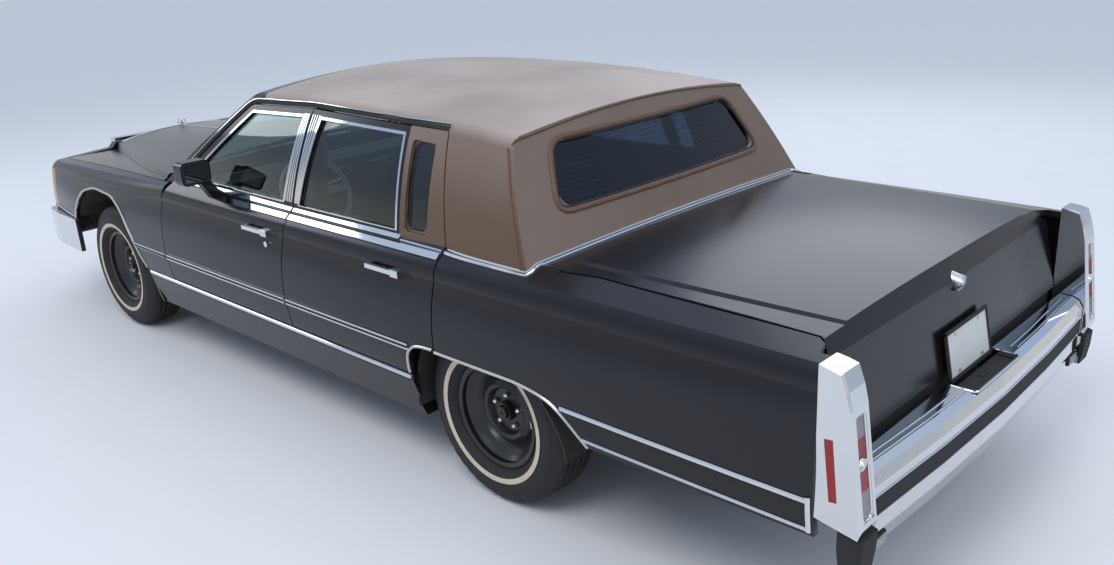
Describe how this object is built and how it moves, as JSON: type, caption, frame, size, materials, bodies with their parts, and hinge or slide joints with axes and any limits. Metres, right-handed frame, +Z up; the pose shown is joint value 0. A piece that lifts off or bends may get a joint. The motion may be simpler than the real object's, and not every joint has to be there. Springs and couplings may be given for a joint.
{
  "type": "four-door luxury sedan",
  "caption": "Full-size black four-door sedan of the late 1980s with a tan padded vinyl roof, upright tail lamp towers, opening doors, hood and trunk, and steering, turning wheels.",
  "frame": {"origin": "ground point under the middle of the car's length and width", "axes": "+X forward along the car, +Y to the car's left, +Z up"},
  "size_m": [5.613, 2.09, 1.4558],
  "materials": {
    "black_paint": "gloss",
    "vinyl": "satin grained vinyl",
    "glass": "dark tinted",
    "chrome": "bright",
    "black_rubber": "matt",
    "lamp_clear": "ribbed",
    "lamp_amber": "ribbed",
    "lamp_red": "ribbed",
    "underbody": "matt",
    "cast_metal": "rough",
    "bare_steel": "dull",
    "aluminium": "finned",
    "seat_cloth": "dark padded",
    "dash_plastic": "grained",
    "tyre": "matt with a pale stripe",
    "steel_wheel": "satin black"
  },
  "bodies": {
    "car": {"front_fenders": "black_paint", "body_sides": "black_paint", "vinyl_roof": "vinyl", "body_pillars": "black_paint", "windshield": "glass", "rear_window": "glass", "cowl": "black_paint", "floor_pan": "underbody", "wheel_wells": "underbody", "header_panel": "black_paint", "grille": "chrome", "front_lamps": "lamp_clear", "corner_lamps": "lamp_amber", "bumpers": "chrome", "bumper_strips": "black_rubber", "lamp_towers": "chrome", "tail_lamps": "lamp_red", "chassis_frame": "underbody", "engine_block": "cast_metal", "radiator": "aluminium", "rear_axle": "cast_metal", "exhaust": "bare_steel", "fuel_tank": "bare_steel", "front_seats": "seat_cloth", "rear_seat": "seat_cloth", "package_shelf": "dash_plastic", "dashboard": "dash_plastic", "steering_wheel": "dash_plastic"},
    "front_door_left": {"front_door_left": "black_paint", "front_door_glass_left": "glass", "front_door_trim_left": "chrome"},
    "rear_door_left": {"rear_door_left": "black_paint", "rear_door_glass_left": "glass", "rear_door_trim_left": "chrome", "rear_door_vinyl_left": "vinyl"},
    "front_door_right": {"front_door_right": "black_paint", "front_door_glass_right": "glass", "front_door_trim_right": "chrome"},
    "rear_door_right": {"rear_door_right": "black_paint", "rear_door_glass_right": "glass", "rear_door_trim_right": "chrome", "rear_door_vinyl_right": "vinyl"},
    "hood": {"hood": "black_paint", "hood_trim": "chrome"},
    "trunk_lid": {"trunk_lid": "black_paint", "lid_lock": "chrome"},
    "knuckle_left": {"knuckle_left": "cast_metal"},
    "knuckle_right": {"knuckle_right": "cast_metal"},
    "wheel_front_left": {"tyre_front_left": "tyre", "wheel_front_left": "steel_wheel"},
    "wheel_front_right": {"tyre_front_right": "tyre", "wheel_front_right": "steel_wheel"},
    "wheel_rear_left": {"tyre_rear_left": "tyre", "wheel_rear_left": "steel_wheel"},
    "wheel_rear_right": {"tyre_rear_right": "tyre", "wheel_rear_right": "steel_wheel"}
  },
  "joints": [
    {"name": "front_door_left_hinge", "type": "hinge", "parent": "car", "child": "front_door_left", "pos_m": [0.988, 0.967, 0.7], "axis": [0, 0, -1], "range_deg": [0, 65]},
    {"name": "rear_door_left_hinge", "type": "hinge", "parent": "car", "child": "rear_door_left", "pos_m": [-0.115, 0.967, 0.7], "axis": [0, 0, -1], "range_deg": [0, 65]},
    {"name": "front_door_right_hinge", "type": "hinge", "parent": "car", "child": "front_door_right", "pos_m": [0.988, -0.967, 0.7], "axis": [0, 0, 1], "range_deg": [0, 65]},
    {"name": "rear_door_right_hinge", "type": "hinge", "parent": "car", "child": "rear_door_right", "pos_m": [-0.115, -0.967, 0.7], "axis": [0, 0, 1], "range_deg": [0, 65]},
    {"name": "hood_hinge", "type": "hinge", "parent": "car", "child": "hood", "pos_m": [1.083, 0, 0.975], "axis": [0, -1, 0], "range_deg": [0, 50]},
    {"name": "trunk_lid_hinge", "type": "hinge", "parent": "car", "child": "trunk_lid", "pos_m": [-1.638, 0, 1], "axis": [0, 1, 0], "range_deg": [0, 65]},
    {"name": "steer_left", "type": "hinge", "parent": "car", "child": "knuckle_left", "pos_m": [1.78, 0.655, 0.35], "axis": [0, 0, 1], "range_deg": [-32, 32]},
    {"name": "steer_right", "type": "hinge", "parent": "car", "child": "knuckle_right", "pos_m": [1.78, -0.655, 0.35], "axis": [0, 0, 1], "range_deg": [-32, 32]},
    {"name": "wheel_front_left_spin", "type": "hinge", "parent": "knuckle_left", "child": "wheel_front_left", "pos_m": [1.78, 0.7835, 0.35], "axis": [0, 1, 0], "continuous": true},
    {"name": "wheel_front_right_spin", "type": "hinge", "parent": "knuckle_right", "child": "wheel_front_right", "pos_m": [1.78, -0.7835, 0.35], "axis": [0, 1, 0], "continuous": true},
    {"name": "wheel_rear_left_spin", "type": "hinge", "parent": "car", "child": "wheel_rear_left", "pos_m": [-1.306, 0.771, 0.35], "axis": [0, 1, 0], "continuous": true},
    {"name": "wheel_rear_right_spin", "type": "hinge", "parent": "car", "child": "wheel_rear_right", "pos_m": [-1.306, -0.771, 0.35], "axis": [0, 1, 0], "continuous": true}
  ],
  "couplings": [
    {"joint": "steer_right", "follows": "steer_left", "ratio": 1}
  ]
}
